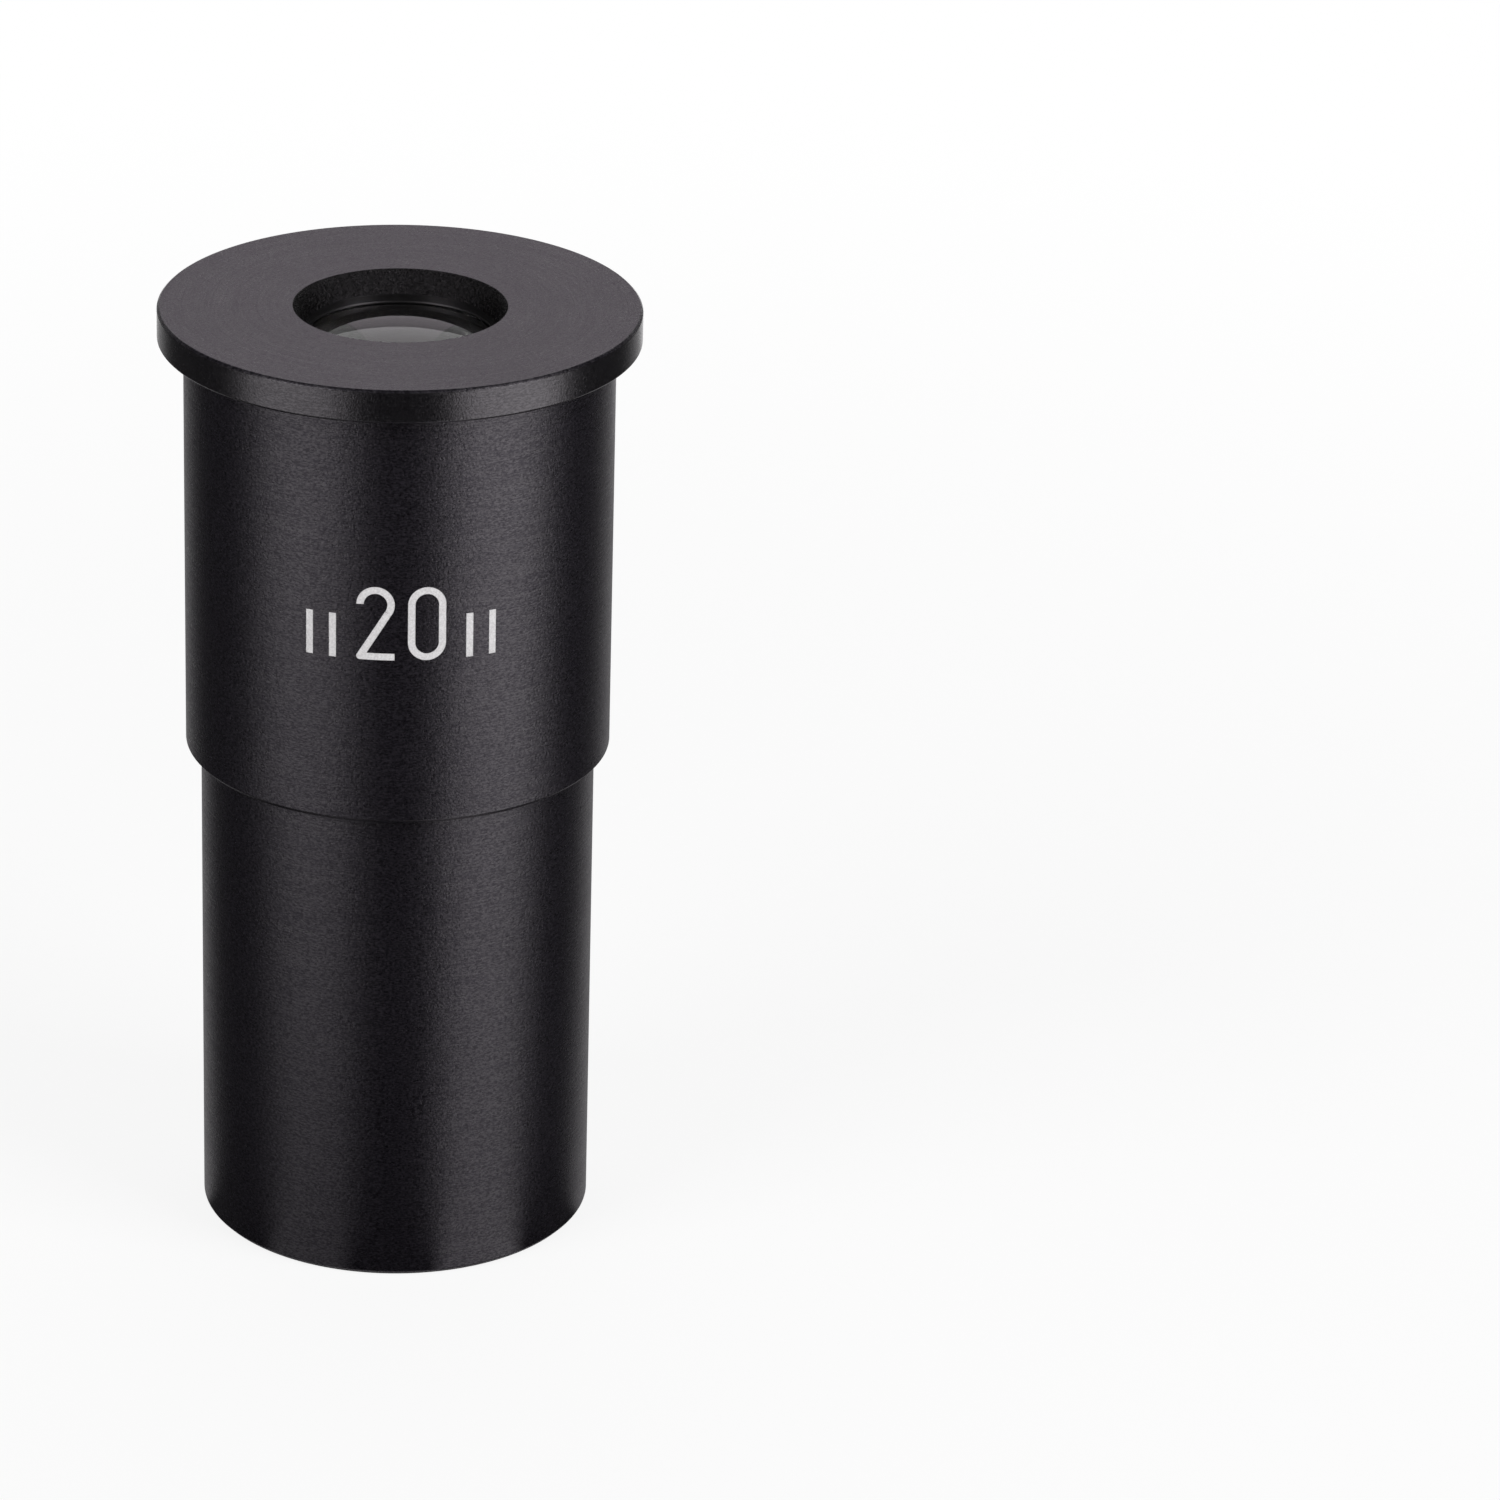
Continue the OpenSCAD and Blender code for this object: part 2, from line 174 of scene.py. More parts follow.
thread_low = shoulder + pilot_height + 0.35 * mm
thread_high = neck_top - 0.42 * mm
barrel = turned("barrel_body", [
    (ring_bore + rim_chamfer, 0),
    (barrel_radius - rim_chamfer, 0),
    (barrel_radius, rim_chamfer),
    (barrel_radius, shoulder),
    (pilot_radius, shoulder),
    (pilot_radius, shoulder + pilot_height - pilot_chamfer),
    (pilot_radius - pilot_chamfer, shoulder + pilot_height),
    (relief_radius, shoulder + pilot_height),
    (relief_radius, thread_low),
    (thread_radius, thread_low + thread_depth),
    (thread_radius, thread_high - thread_depth),
    (relief_radius, thread_high),
    (relief_radius, neck_top - neck_chamfer),
    (relief_radius - neck_chamfer, neck_top),
    (neck_bore + neck_chamfer, neck_top),
    (neck_bore, neck_top - neck_chamfer),
    (neck_bore, stop_seat),
    (spacer_bore, stop_seat),
    (spacer_bore, ring_thread_top),
    (ring_bore, ring_thread_top),
    (ring_bore, rim_chamfer),
    (ring_bore + rim_chamfer, 0)])
edge_break = 0.03 * mm
break_edges(barrel, edge_break)

flank = 0.46875 / 0.46  # widening of the thread's groove, for each unit of depth
run_out, half_crest = 0.5 * mm, 0.28125 * mm
first_crest = shoulder + pilot_height + run_out + half_crest
groove_start = first_crest - pitch / 2
groove_out = 0.05 * mm  # how far the groove's tool stands out past the thread
neck_turns = 7
cut(barrel, thread_tool(
    root_radius, thread_radius + groove_out,
    pitch / 4, pitch / 4 + flank * (thread_depth + groove_out),
    groove_start, neck_turns, pitch))

# The fine thread in the barrel's mouth, for the ring that holds the field lens.
ring_pitch, ring_turns = 0.5 * mm, 15
ring_groove_inner, ring_groove_outer = ring_bore - 0.03 * mm, ring_bore + 0.22 * mm
ring_groove_width, ring_groove_floor = 0.46 * mm, 0.1 * mm
ring_groove_start = -0.6 * mm
cut(barrel, thread_tool(
    ring_groove_inner, ring_groove_outer, ring_groove_width, ring_groove_floor,
    ring_groove_start, ring_turns, ring_pitch))
smooth(barrel)


class Tone:
    """A socket among a finish's nodes, which adds up and multiplies like a number."""

    def __init__(self, tree, socket=None):
        self.tree = tree
        self.socket = socket

    def node(self, kind, settings, inputs, output=0):
        """Adds any node: its settings first, then what feeds its sockets."""
        made = self.tree.nodes.new("ShaderNode" + kind)
        for setting, value in settings.items():
            setattr(made, setting, value)
        for name, value in inputs.items():
            if isinstance(value, Tone):
                self.tree.links.new(value.socket, made.inputs[name])
            else:
                made.inputs[name].default_value = value
        return Tone(self.tree, made.outputs[output])

    def math(self, operation, *values):
        """Any operation of the Math node, on tones and plain numbers."""
        return self.node("Math", {"operation": operation}, dict(enumerate(values)))

    def __add__(self, other):
        return self.math("ADD", self, other)

    def __radd__(self, other):
        return self.math("ADD", other, self)

    def __sub__(self, other):
        return self.math("SUBTRACT", self, other)

    def __rsub__(self, other):
        return self.math("SUBTRACT", other, self)

    def __mul__(self, other):
        return self.math("MULTIPLY", self, other)

    def __rmul__(self, other):
        return self.math("MULTIPLY", other, self)

    def __truediv__(self, other):
        return self.math("DIVIDE", self, other)

    def __rtruediv__(self, other):
        return self.math("DIVIDE", other, self)

    def __pow__(self, power):
        return self.math("POWER", self, power)

    def parts(self):
        """The three numbers of this vector."""
        split = self.node("SeparateXYZ", {}, {0: self}).socket.node
        return [Tone(self.tree, part) for part in split.outputs]

    def over(self, size):
        """This vector divided by a size, so that noise over it has features of about that size."""
        return self.node("VectorMath", {"operation": "SCALE"}, {0: self, "Scale": 1 / size})

    def noise(self, detail=2.0, roughness=0.5):
        """Cloudy noise over this vector."""
        return self.node(
            "TexNoise", {},
            {"Vector": self, "Scale": 1.0, "Detail": detail, "Roughness": roughness})

    def bumps(self, depth=1.0):
        """The surface's normal, with this tone as its height: 1 stands depth metres high."""
        return self.node("Bump", {}, {"Strength": 1.0, "Distance": depth, "Height": self})

    def step(self, low, high):
        """0 below low, 1 above high, and smooth between."""
        return self.node(
            "MapRange", {"interpolation_type": "SMOOTHSTEP"},
            {"Value": self, "From Min": low, "From Max": high})

    def between(self, dark, light):
        """A colour that runs from dark to light with this tone."""
        return self.node(
            "Mix", {"data_type": "RGBA"}, {0: self, 6: (*dark, 1), 7: (*light, 1)}, output=2)


def principled(name):
    """A new material, with its shader and its object coordinates."""
    finish = bpy.data.materials.new(name)
    finish.use_nodes = True
    tree = finish.node_tree
    place = Tone(tree).node("TexCoord", {}, {}, output="Object")
    return finish, tree.nodes["Principled BSDF"], place


def feed(shader, **tones):
    """Sets or links the shader's sockets. Base_Color is the socket Base Color."""
    for name, tone in tones.items():
        socket = shader.inputs[name.replace("_", " ")]
        if isinstance(tone, Tone):
            tone.tree.links.new(tone.socket, socket)
        else:
            socket.default_value = tone


def lathe_lines(place, length, width):
    """The place, drawn out so that noise over it runs in lines round the axis."""
    x, y, z = place.parts()
    along_profile = (x * x + y * y) ** 0.5 + z
    return place.node(
        "CombineXYZ", {},
        {0: x * (1 / length), 1: y * (1 / length), 2: along_profile * (1 / width)})


def blasted(
        name, dark, light, gloss, grain_size, grain_depth, line_depth,
        sheen_level=0.5, flecks=0.0):
    """Blackened metal: a blasted grain over turning lines that follow the lathe's circles.

    The flecks are specks and short streaks that shine less than the rest.
    """
    finish, shader, place = principled(name)
    lines = lathe_lines(place, length=6 * mm, width=0.11 * mm).noise(3.0, 0.6)
    grain = place.over(grain_size).noise(2.0, 0.65)
    cloud = place.over(5 * mm).noise(2.0)
    height = grain * grain_depth + lines * line_depth
    sheen_colour = (1.0, 0.93, 1.0, 1)
    feed(
        shader,
        Base_Color=(grain * 0.6 + lines * 0.4).step(0.35, 0.7).between(dark, light),
        Roughness=gloss + (grain - 0.5) * 0.3 + (lines - 0.5) * 0.15 + (cloud - 0.5) * 0.06,
        Specular_IOR_Level=sheen_level,
        Specular_Tint=sheen_colour,
        Normal=height.bumps())
    if flecks:
        streaks = lathe_lines(place, length=0.2 * mm, width=0.075 * mm).noise(1.0, 0.5)
        feed(shader, Metallic=(streaks * 0.7 + lines * 0.3).step(0.38, 0.62) * flecks)
    return finish


anodised = blasted(
    "black_anodise", dark=(0.0040, 0.0034, 0.0052), light=(0.0115, 0.0100, 0.0140), gloss=0.31,
    grain_size=0.14 * mm, grain_depth=0.026 * mm, line_depth=0.010 * mm,
    sheen_level=0.45, flecks=0.6)
bore_black = blasted(
    "bore_black", dark=(0.003, 0.003, 0.003), light=(0.006, 0.006, 0.006), gloss=0.4,
    grain_size=0.2 * mm, grain_depth=0.003 * mm, line_depth=0.008 * mm, sheen_level=0.3)


def inside(piece, radius_at, finish):
    """Gives a second finish to the faces that lie nearer the axis than radius_at(height) says."""
    piece.data.materials.append(finish)
    for face in piece.data.polygons:
        if math.hypot(face.center.x, face.center.y) < radius_at(face.center.z):
            face.material_index = len(piece.data.materials) - 1


def barrel_inside(height):
    """Takes in the lower rim, and further up only what lies within the neck's thread."""
    if height < rim_chamfer / 2:
        return barrel_radius - 0.4 * mm
    return root_radius - 0.1 * mm


barrel.data.materials.append(anodised)
inside(barrel, barrel_inside, bore_black)
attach(barrel, "barrel")
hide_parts("barrel")

# ---- Field stop -------------------------------------------------------------------------
# A thin aluminium diaphragm, anodised dull black, turned with a sharp edge that bounds the
# view. It drops into the barrel's bore against the step, where the spacer tube holds it.
stop_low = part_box("field_stop")[0].z
stop_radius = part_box("field_stop")[1].x
stop_ledge = 1.6 * mm
stop_opening = stop_radius - stop_ledge
stop_bevel = 0.4 * mm
stop = turned("field_stop_disc", [
    (stop_opening + stop_bevel, stop_low),
    (stop_radius, stop_low),
    (stop_radius, stop_seat),
    (stop_opening, stop_seat),
    (stop_opening, stop_low + stop_bevel),
    (stop_opening + stop_bevel, stop_low)])
stop_edge_break = 0.02 * mm
break_edges(stop, stop_edge_break)
smooth(stop)
dull_black = blasted(
    "dull_black", dark=(0.004, 0.004, 0.004), light=(0.012, 0.011, 0.010), gloss=0.4,
    grain_size=0.3 * mm, grain_depth=0.001 * mm, line_depth=0.004 * mm)
stop.data.materials.append(dull_black)
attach(stop, "barrel")
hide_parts("field_stop")

# ---- Spacer tube ------------------------------------------------------------------------
# A thin aluminium tube that keeps the field lens away from the stop. Its bore is turned
# with fine rings and blackened, so that light doesn't glance along it.
tube_low, tube_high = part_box("spacer_tube")[0].z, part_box("spacer_tube")[1].z
tube_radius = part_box("spacer_tube")[1].x
tube_wall = 0.7 * mm
tube_bore = tube_radius - tube_wall
glare_pitch, glare_depth = 0.5 * mm, 0.12 * mm
plain_end = 0.5 * mm
glare_rings = int((tube_high - tube_low - 2 * plain_end) / glare_pitch)
bore_profile = []
for ring in range(glare_rings):
    ring_low = tube_low + plain_end + ring * glare_pitch
    bore_profile += [(tube_bore, ring_low), (tube_bore + glare_depth, ring_low + glare_pitch / 2)]
spacer = turned("spacer_tube_body", [
    (tube_bore, tube_low),
    *bore_profile,
    (tube_bore, tube_high),
    (tube_radius, tube_high),
    (tube_radius, tube_low),
    (tube_bore, tube_low)])
smooth(spacer)
spacer.data.materials.append(bore_black)
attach(spacer, "barrel")
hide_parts("spacer_tube")

# ---- Field lens -------------------------------------------------------------------------
# A plano-convex lens of crown glass, its curved side down, with a ground edge. It is the
# lens seen from below, deep in the threaded mouth of the barrel.
crown_index = 1.52


def face_arc(face_radius, edge_radius, pole, bulge, steps=24):
    """A spherical face from near its pole out to its edge. Bulge is 1 where it rises to the pole."""
    arc = []
    for step in range(1, steps + 1):
        radius = edge_radius * step / steps
        fall = face_radius - math.sqrt(face_radius ** 2 - radius ** 2)
        arc.append((radius, pole - bulge * fall))
    return arc


def polished_glass(name, index, tint):
    """Clear polished glass with a faint film left by cleaning."""
    finish, shader, place = principled(name)
    film = place.over(2.5 * mm).noise(4.0, 0.6)
    feed(
        shader,
        Base_Color=film.between(tint, (1, 1, 1)),
        Roughness=film.step(0.55, 0.8) * 0.03,
        IOR=index,
        Transmission_Weight=1.0)
    return finish


ground_edge = blasted(
    "blackened_edge", dark=(0.003, 0.003, 0.003), light=(0.010, 0.010, 0.010), gloss=0.6,
    grain_size=0.15 * mm, grain_depth=0.002 * mm, line_depth=0.001 * mm)
upright = 0.2  # a face whose normal rises or falls less than this belongs to the lens's edge
field_low, field_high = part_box("field_lens")[0].z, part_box("field_lens")[1].z
field_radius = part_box("field_lens")[1].x
field_curve = 21.2 * mm
pole_flat = 0.4 * mm
field_lens = turned("field_lens_glass", [
    *face_arc(field_curve, field_radius, field_low, -1),
    (field_radius, field_high),
    (pole_flat, field_high),
    (0, field_high)])
field_edge_break = 0.12 * mm
break_edges(field_lens, field_edge_break)
smooth(field_lens)
field_glass = polished_glass("crown_glass_field", crown_index, (0.96, 0.985, 0.975))
field_lens.data.materials.append(field_glass)
field_lens.data.materials.append(ground_edge)
for face in field_lens.data.polygons:
    face.material_index = int(abs(face.normal.z) < upright)
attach(field_lens, "barrel")
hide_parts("field_lens")

# ---- Field lens ring --------------------------------------------------------------------
# A slotted ring that screws into the barrel's mouth and holds the field lens. A spanner's
# two tips fit the slots. Turned from aluminium and anodised dull black.


def slotted_ring(name, node, wall):
    """A retaining ring the size of its node, with two spanner slots across its lower face."""
    low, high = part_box(node)
    bore = high.x - wall
    ring = turned(name, [
        (bore, low.z),
        (high.x, low.z),
        (high.x, high.z),
        (bore, high.z),
        (bore, low.z)])
    slot_width, slot_depth = 1.0 * mm, 0.8 * mm
    bpy.ops.object.select_all(action="DESELECT")
    bpy.ops.mesh.primitive_cube_add(size=1, location=(0, 0, low.z))
    saw = bpy.context.object
    saw.scale = (3 * high.x, slot_width, 2 * slot_depth)
    bpy.ops.object.transform_apply(location=True, scale=True)
    cut(ring, saw)
    break_edges(ring, 0.05 * mm, sharper_than=40)
    smooth(ring)
    ring.data.materials.append(dull_black)
    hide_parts(node)
    return ring


ring_wall = 1.2 * mm
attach(slotted_ring("field_lens_retainer", "field_lens_ring", ring_wall), "barrel")

# ---- Eye lens pair ----------------------------------------------------------------------
# The lens that the eye looks into: a crown lens curved on both faces, cemented to a flint
# lens. Both have ground, blackened edges, and sit in the head against the lip.
eye_curve, rear_curve = 17.5 * mm, 110 * mm
flint_index = 1.62
eye_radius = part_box("eye_lens_crown")[1].x
crown_rear, crown_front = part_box("eye_lens_crown")[0].z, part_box("eye_lens_crown")[1].z
cement_gap = 0.02 * mm
flint_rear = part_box("eye_lens_flint")[0].z
flint_front = crown_rear - cement_gap
eye_edge_break = 0.08 * mm
face_on = 0.5  # the normals of the cemented face rise or fall by more than this


def cement():
    """The clear cement between the two lenses, which light crosses without bending."""
    finish, shader, place = principled("clear_cement")
    film = place.over(1.5 * mm).noise(3.0)
    feed(shader, Base_Color=(0.9, 0.88, 0.8, 1), Roughness=0.5, Alpha=film * 0.01, IOR=1.0)
    return finish


def eye_lens(name, node, profile, glass, cemented_side):
    """One lens of the pair. The face that points to cemented_side is the cemented one."""
    lens = turned(name, profile)
    break_edges(lens, eye_edge_break)
    smooth(lens)
    for finish in (glass, ground_edge, clear_cement):
        lens.data.materials.append(finish)
    for face in lens.data.polygons:
        if abs(face.normal.z) < upright:
            face.material_index = 1
        elif face.normal.z * cemented_side > face_on:
            face.material_index = 2
    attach(lens, "eye_optics")
    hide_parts(node)
    return lens


clear_cement = cement()
crown_profile = [
    *face_arc(eye_curve, eye_radius, crown_rear, -1),
    *reversed(face_arc(eye_curve, eye_radius, crown_front, 1)),
    (0, crown_front)]
crown_glass = polished_glass("crown_glass_eye", crown_index, (0.97, 0.985, 0.98))
crown = eye_lens("eye_lens_front", "eye_lens_crown", crown_profile, crown_glass, -1)

flint_profile = [
    *face_arc(rear_curve, eye_radius, flint_rear, -1),
    *reversed(face_arc(eye_curve, eye_radius, flint_front, -1)),
    (0, flint_front)]
flint_glass = polished_glass("flint_glass_eye", flint_index, (0.98, 0.98, 0.95))
flint = eye_lens("eye_lens_rear", "eye_lens_flint", flint_profile, flint_glass, 1)

# ---- Eye lens ring ----------------------------------------------------------------------
# The smaller slotted ring, which screws up into the head from below and presses the eye
# lens against the lip.
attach(slotted_ring("eye_lens_retainer", "eye_lens_ring", ring_wall), "head")

# ---- Head -------------------------------------------------------------------------------
# The flanged sleeve that the eye meets, turned in one piece from aluminium bar, blasted
# and anodised black like the barrel. The cone of its eye hole is left coarse and dull, and
# its mouth is threaded inside for the barrel's neck.
flange_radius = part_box("head_sleeve")[1].x
head_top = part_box("head_sleeve")[1].z
sleeve_radius = barrel_radius + 0.9 * mm
flange_thick = 2.0 * mm
flange_low = head_top - flange_thick
head_bevel, foot_bevel = 0.15 * mm, 0.28 * mm
hole_radius, lip_radius = 6.2 * mm, 5.449 * mm
cone_depth, lip_depth = 1.3 * mm, 0.6 * mm
cone_low = head_top - cone_depth
lip_low = cone_low - lip_depth
bead_rise, bead_top, bead_foot = 0.05 * mm, lip_low + 0.16 * mm, lip_low + 0.02 * mm
lens_bore = eye_radius + 0.03 * mm
eye_ring_bore = lens_bore + 0.47 * mm
eye_ring_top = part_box("eye_lens_ring")[1].z + thread_past_ring
cell_depth = 8.8 * mm
cell_low = head_top - cell_depth
mouth_radius = barrel_radius + 0.02 * mm
mouth_top = shoulder + pilot_height
thread_clearance = 0.08 * mm
minor_radius, major_radius = root_radius + thread_clearance, thread_radius + thread_clearance
relief_bore = major_radius + 0.25 * mm
relief_low = neck_top - 0.5 * mm
head = turned("head_body", [
    (mouth_radius, shoulder),
    (sleeve_radius - foot_bevel, shoulder),
    (sleeve_radius, shoulder + foot_bevel),
    (sleeve_radius, flange_low),
    (flange_radius - head_bevel, flange_low),
    (flange_radius, flange_low + head_bevel),
    (flange_radius, head_top - head_bevel),
    (flange_radius - head_bevel, head_top),
    (hole_radius, head_top),
    (lip_radius, cone_low),
    (lip_radius, bead_top),
    (lip_radius - bead_rise, bead_top - bead_rise),
    (lip_radius - bead_rise, bead_foot),
    (lip_radius, lip_low),
    (lens_bore, lip_low),
    (lens_bore, eye_ring_top),
    (eye_ring_bore, eye_ring_top),
    (eye_ring_bore, cell_low),
    (relief_bore, cell_low),
    (relief_bore, relief_low),
    (minor_radius, relief_low),
    (minor_radius, mouth_top),
    (mouth_radius, mouth_top),
    (mouth_radius, shoulder)])
break_edges(head, edge_break)

groove_in = 0.06 * mm  # how far the groove's tool stands in past the head's thread
groove_room = 0.1 * mm  # how much wider the head's groove is than the neck's thread
groove_base = pitch * 3 / 4 + groove_room
head_turns = 8
cut(head, thread_tool(
    minor_radius - groove_in, major_radius,
    groove_base + flank * groove_in, groove_base - flank * thread_depth,
    first_crest - 2 * pitch, head_turns, pitch))

cone_black = blasted(
    "cone_black", dark=(0.0005, 0.0005, 0.0005), light=(0.0030, 0.0026, 0.0028), gloss=0.25,
    grain_size=0.18 * mm, grain_depth=0.13 * mm, line_depth=0.002 * mm, sheen_level=0.14)
rim_finish = blasted(
    "flange_rim", dark=(0.0040, 0.0036, 0.0046), light=(0.0105, 0.0100, 0.0110), gloss=0.21,
    grain_size=0.12 * mm, grain_depth=0.014 * mm, line_depth=0.006 * mm,
    sheen_level=0.50, flecks=0.4)
hair = 0.01 * mm


def head_inside(height):
    """Takes in the eye hole above the flange's lower face, and the whole bore below it."""
    if height > flange_low:
        return hole_radius - hair
    return mouth_radius + 0.1 * mm


head.data.materials.append(anodised)
inside(head, head_inside, bore_black)
head.data.materials.append(cone_black)
head.data.materials.append(rim_finish)
for face in head.data.polygons:
    from_axis = math.hypot(face.center.x, face.center.y)
    in_cone = lip_radius < from_axis < hole_radius and face.center.z > cone_low
    slopes = 0.1 < face.normal.z < 0.9
    if in_cone and slopes:
        face.material_index = 2
    if from_axis > flange_radius - 2 * hair:
        face.material_index = 3
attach(head, "head")
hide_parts("head_sleeve")

# ---- Marking ----------------------------------------------------------------------------
# A plain number between two pairs of ticks, engraved in the sleeve with a fine cutter and
# filled with white paint, a hair below the surface.
line = 0.43 * mm
digit_height, digit_width, digit_gap = 4.5 * mm, 2.2 * mm, 0.75 * mm
tick_pitch, tick_height = 1.4 * mm, 2.7 * mm
marking_middle = (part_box("marking_fill")[0].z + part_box("marking_fill")[1].z) / 2
engraved, paint_sunk = 0.12 * mm, 0.015 * mm
reach = 1 * mm  # how far the cutter's shape runs past the surface, in and out


def stroke(start, end):
    """A straight engraved line between two points of the flat drawing."""
    run = math.dist(start, end)
    slope = math.atan2(end[1] - start[1], end[0] - start[0])
    bpy.ops.object.select_all(action="DESELECT")
    middle = ((start[0] + end[0]) / 2, 0, (start[1] + end[1]) / 2)
    bpy.ops.mesh.primitive_cube_add(size=1, location=middle, rotation=(0, -slope, 0))
    bar = bpy.context.object
    bar.scale = (run, 2 * reach, line)
    bpy.ops.object.transform_apply(location=True, rotation=True, scale=True)
    return bar


def stadium(end_radius, straight):
    """An upright shape with round ends: a cylinder whose halves are moved apart by the straight."""
    corners = 96
    half_step = math.pi / corners
    bpy.ops.object.select_all(action="DESELECT")
    bpy.ops.mesh.primitive_cylinder_add(
        vertices=corners, radius=end_radius, depth=2 * reach, rotation=(math.pi / 2, half_step, 0))
    bar = bpy.context.object
    bpy.ops.object.transform_apply(rotation=True)
    for side in (-1, 1):
        pick(bar, lambda place: place.z * side > 0)
        bpy.ops.transform.translate(value=(0, 0, side * straight / 2))
        bpy.ops.object.mode_set(mode="OBJECT")
    return bar


def nought():
    """The digit 0: a stadium with a smaller one cut out."""
    straight = digit_height - digit_width
    bar = stadium(digit_width / 2, straight)
    cut(bar, stadium(digit_width / 2 - line, straight))
    return bar


def two():
    """The digit 2: an arc, a slanting stroke from its end, a round corner and a level foot."""
    arc_radius = (digit_width - line) / 2
    arc_middle = digit_height / 2 - line / 2 - arc_radius
    foot = -digit_height / 2 + line / 2
    past_level = math.radians(35)
    bpy.ops.object.select_all(action="DESELECT")
    bpy.ops.mesh.primitive_plane_add(size=1, location=(-arc_radius, 0, arc_middle))
    bar = bpy.context.object
    bar.scale = (line, 2 * reach, 1)
    bpy.ops.object.transform_apply(location=True, scale=True)
    bpy.ops.object.mode_set(mode="EDIT")
    bpy.ops.mesh.select_all(action="SELECT")
    bpy.ops.mesh.spin(
        steps=48, angle=math.pi + past_level, center=(0, 0, arc_middle), axis=(0, -1, 0))
    bpy.ops.mesh.select_all(action="SELECT")
    bpy.ops.mesh.normals_make_consistent(inside=False)
    bpy.ops.object.mode_set(mode="OBJECT")
    arc_end = (arc_radius * math.cos(past_level), arc_middle - arc_radius * math.sin(past_level))
    corner = stadium(line / 2, 0)
    bpy.ops.object.mode_set(mode="EDIT")
    bpy.ops.mesh.select_all(action="SELECT")
    bpy.ops.transform.translate(value=(-arc_radius, 0, foot))
    bpy.ops.object.mode_set(mode="OBJECT")
    slant = stroke(arc_end, (-arc_radius, foot))
    level = stroke((-arc_radius, foot), (digit_width / 2, foot))
    for leg in (slant, level, corner):
        apply(bar, "BOOLEAN", operation="UNION", solver="EXACT", object=leg)
        bpy.data.objects.remove(leg)
    return bar


def on_sleeve(shape, distance):
    """Sets a flat shape on the sleeve's front, a distance round it from the middle."""
    bpy.ops.object.select_all(action="DESELECT")
    shape.select_set(True)
    bpy.context.view_layer.objects.active = shape
    turn = Matrix.Rotation(distance / sleeve_radius, 4, "Z")
    shape.matrix_world = turn @ Matrix.Translation((0, -sleeve_radius, marking_middle))
    bpy.ops.object.transform_apply(location=True, rotation=True)
    return shape


def shell(name, inner, outer):
    """A plain round shell about the marking's height."""
    low, high = marking_middle - digit_height, marking_middle + digit_height
    return turned(name, [(inner, low), (outer, low), (outer, high), (inner, high), (inner, low)])


digit_middle = (digit_width + digit_gap) / 2
shapes = [on_sleeve(two(), -digit_middle), on_sleeve(nought(), digit_middle)]
tick_foot = -digit_height / 2
for side in (-1, 1):
    for number in (1, 2):
        tick_place = digit_width + digit_gap / 2 + number * tick_pitch
        tick = stroke((0, tick_foot), (0, tick_foot + tick_height))
        shapes.append(on_sleeve(tick, side * tick_place))
bpy.ops.object.select_all(action="DESELECT")
for shape in shapes:
    shape.select_set(True)
bpy.context.view_layer.objects.active = shapes[0]
bpy.ops.object.join()
engraving = bpy.context.object
marking = shell("marking_paint", sleeve_radius - engraved, sleeve_radius - paint_sunk)
apply(marking, "BOOLEAN", operation="INTERSECT", solver="EXACT", object=engraving)
recess = shell("recess", sleeve_radius - engraved, sleeve_radius + reach / 2)
apply(recess, "BOOLEAN", operation="INTERSECT", solver="EXACT", object=engraving)
bpy.data.objects.remove(engraving)
cut(head, recess)
smooth(head)
smooth(marking)

white_paint, paint_shader, paint_place = principled("white_paint")
paint_low, paint_high = (0.57, 0.555, 0.565), (0.77, 0.755, 0.765)
brushed = paint_place.over(0.12 * mm).noise(3.0, 0.6)
feed(
    paint_shader,
    Base_Color=brushed.step(0.25, 0.75).between(paint_low, paint_high),
    Roughness=0.5 + brushed * 0.25,
    Normal=brushed.bumps(0.006 * mm))
marking.data.materials.append(white_paint)
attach(marking, "head")
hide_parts("marking_fill")

# ---- Floor and light --------------------------------------------------------------------
# A pale table and backdrop, with a soft light on each side and one behind. Reflections also
# show a bright panel behind the object and a glowing card on the table, which has a soft
# glowing patch on the left, on the right and behind, and is dark between them. The card's
# glow is a painted reflection: it paints the highlights on the tube.
scene = bpy.context.scene
# The whole studio, camera too, is turned by this angle, so that it faces the marking.
facing = Matrix.Rotation(math.radians(-3.9), 4, "Z")


def rays(tree, *kinds):
    """1 for rays of the named kinds, and 0 for all others."""
    found = [Tone(tree).node("LightPath", {}, {}, output=kind) for kind in kinds]
    total = found[0]
    for kind in found[1:]:
        total = total.math("MAXIMUM", total, kind)
    return total


def glow(shader, colour, level, share):
    """Mixes a plain glow into a stage finish: share says which rays see how much of it."""
    lit = share.node("Emission", {}, {"Color": colour, "Strength": level})
    mixed = share.node("MixShader", {}, {0: share, 1: Tone(share.tree, shader.outputs[0]), 2: lit})
    share.tree.links.new(mixed.socket, share.tree.nodes["Material Output"].inputs["Surface"])


def stage_plane(name, width, depth, at, shade, turn=(0, 0, 0)):
    """A flat stage piece of plain matte card, with its shader and its object coordinates."""
    bpy.ops.object.select_all(action="DESELECT")
    bpy.ops.mesh.primitive_plane_add(size=1, location=at, rotation=turn)
    card = bpy.context.object
    card.name = name
    card.scale = (width, depth, 1)
    bpy.ops.object.transform_apply(location=True, rotation=True, scale=True)
    card.matrix_world = facing
    finish, shader, place = principled(name)
    feed(shader, Base_Color=(shade, shade, shade, 1), Roughness=0.9, Specular_IOR_Level=0.0)
    card.data.materials.append(finish)
    return card, shader, place


white, studio_white = (1, 1, 1, 1), (1.0, 0.92, 0.99, 1)
upright_turn = (math.pi / 2, 0, 0)

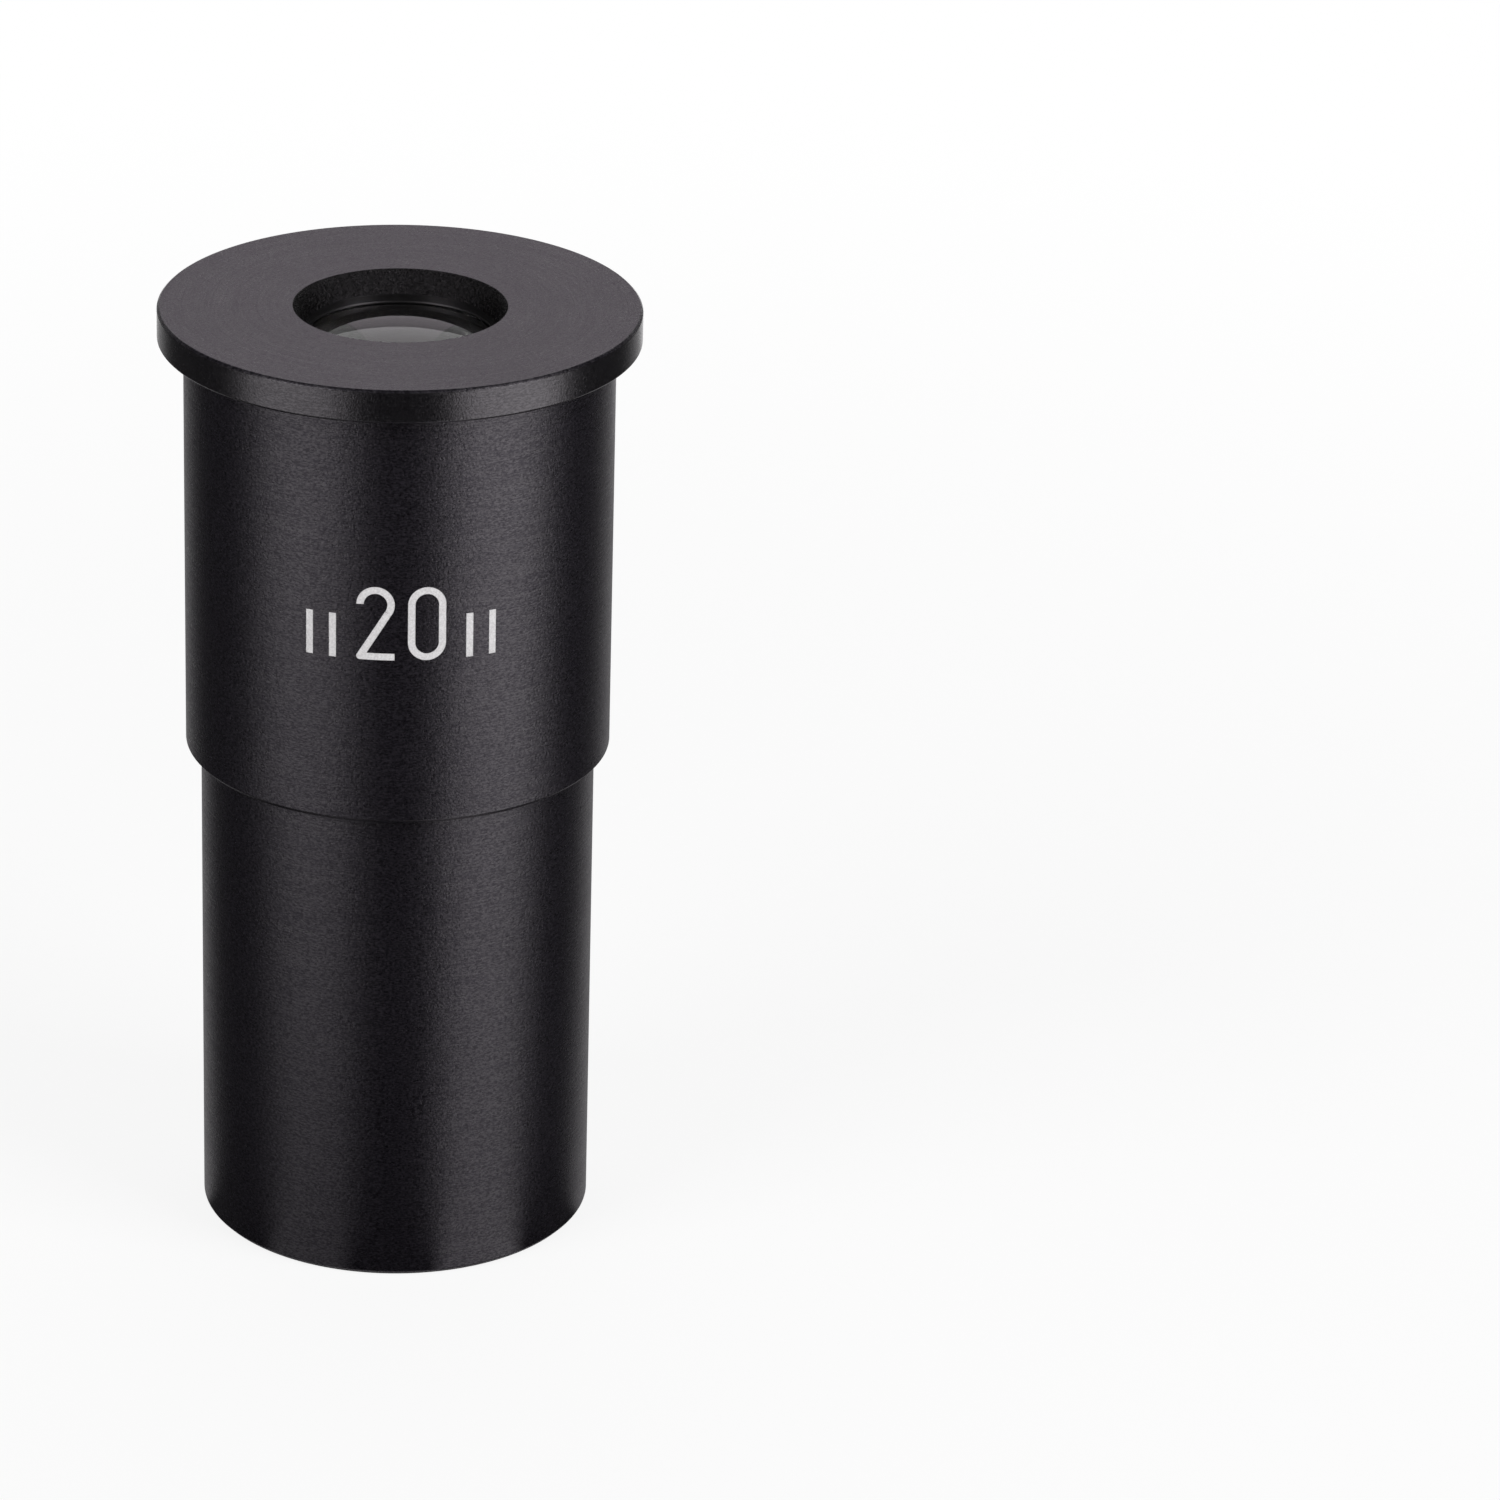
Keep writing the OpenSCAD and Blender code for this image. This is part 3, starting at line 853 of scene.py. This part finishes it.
# Near the object the floor's glow gives way a little to its real shade, with the soft shadow.
shadow_glow = 0.86
table_shader, table_place = stage_plane("floor", 6, 6, (0, 0, 0), 0.8)[1:]
from_object = table_place.node("VectorMath", {"operation": "LENGTH"}, {0: table_place}, output=1)
open_floor = from_object.step(0.05, 0.22)
floor_share = shadow_glow + (1 - shadow_glow) * open_floor
glow(table_shader, white, 1.0, rays(table_place.tree, "Is Camera Ray") * floor_share)

wall_shader, wall_place = stage_plane(
    "backdrop", 1.3, 0.8, (0, 0.66, 0.4), 0.9, turn=upright_turn)[1:]
glow(wall_shader, white, 1.0, rays(wall_place.tree, "Is Camera Ray"))

panel_level = 0.57
panel, panel_shader, panel_place = stage_plane(
    "bright_panel", 0.175, 0.8, (-0.036, 0.65, 0.42), 0.8, turn=upright_turn)
panel_rays = rays(panel_place.tree, "Is Glossy Ray", "Is Transmission Ray")
glow(panel_shader, studio_white, panel_level, panel_rays)
panel.visible_camera = False

# A card that only glossy rays see, and which glows: its patches are painted reflections for the tube's
# highlights.
card, card_shader, card_place = stage_plane("glossy_glow_card", 3, 3, (0, 0, 0.3 * mm), 0.01)
card_x, card_y = card_place.parts()[:2]
distance = (card_x * card_x + card_y * card_y) ** 0.5
# The patches curve in to the object's foot, and so their reflections run straight up it.
foot_share = 1 - 0.5 * barrel_radius / distance
# Bearings are in degrees from the front, growing to the right.
bearing = card_x.math("ARCTAN2", card_x, 0 - card_y) * (180 / math.pi) / foot_share
turned_away = bearing.math("ABSOLUTE", bearing)
left_patch = bearing.step(-82, -64) - bearing.step(-32, -16)
right_patch = bearing.step(24, 40) - bearing.step(76, 92)
back_patch = turned_away.step(139, 155)
mid_back = turned_away.step(160, 172)
far_out = distance.step(110 * mm, 200 * mm)
reach_out = distance.math("MINIMUM", distance, 220 * mm)
left_level = 0.44 + reach_out * 12
right_level = 1.35 + reach_out * 13.5
card_base_glow, back_level, far_level = 0.05, 0.36, 1.6
# The card's glow, a dim base with bright patches: the painted reflection that makes the highlights on
# the tube.
card_glow = (
    card_base_glow + left_patch * left_level + right_patch * right_level
    + back_patch * back_level + mid_back * far_out * far_level)
glow(card_shader, card_glow, 1.0, rays(card_place.tree, "Is Glossy Ray"))
card.visible_camera = False
card.visible_diffuse = False
card.visible_shadow = False
card.visible_transmission = False


def soft_light(name, azimuth, elevation, away, width, height, power):
    """A soft light aimed at the middle of the object. Azimuth is from the front, towards +X."""
    lamp = bpy.data.lights.new(name, "AREA")
    lamp.shape = "RECTANGLE"
    lamp.size, lamp.size_y = width, height
    lamp.energy = power
    light = bpy.data.objects.new(name, lamp)
    scene.collection.objects.link(light)
    middle = facing @ Matrix.Translation((0, 0, head_top / 2))
    round_axis = Matrix.Rotation(math.radians(azimuth), 4, "Z")
    tipped = Matrix.Rotation(math.radians(90 - elevation), 4, "X")
    light.matrix_world = middle @ round_axis @ tipped @ Matrix.Translation((0, 0, away))
    light.visible_camera = False


soft_light("left_light", azimuth=-50, elevation=35, away=0.5, width=0.25, height=0.35, power=1.4)
soft_light("right_light", azimuth=60, elevation=35, away=0.5, width=0.25, height=0.35, power=1.8)
soft_light("back_light", azimuth=180, elevation=52, away=0.6, width=0.6, height=0.55, power=0.9)

world = bpy.data.worlds.new("studio")
scene.world = world
world.use_nodes = True
background = world.node_tree.nodes["Background"]
seen = rays(world.node_tree, "Is Camera Ray")
room_level = 0.1
feed(background, Color=white, Strength=room_level + seen * (1 - room_level))

camera_data = bpy.data.cameras.new("camera")
camera_data.sensor_width = 36
camera_data.lens = 165.3
camera_data.clip_start, camera_data.clip_end = 0.01, 20
camera = bpy.data.objects.new("camera", camera_data)
scene.collection.objects.link(camera)
look_down, roll = math.radians(23.74), math.radians(1.615)
aim_point = (20.84 * mm, 0, 29.63 * mm)
camera_distance = 407.6 * mm
camera.matrix_world = (
    facing @ Matrix.Translation(aim_point) @ Matrix.Rotation(math.pi / 2 - look_down, 4, "X")
    @ Matrix.Translation((0, 0, camera_distance)) @ Matrix.Rotation(roll, 4, "Z"))
scene.camera = camera
scene.view_settings.view_transform = "Standard"
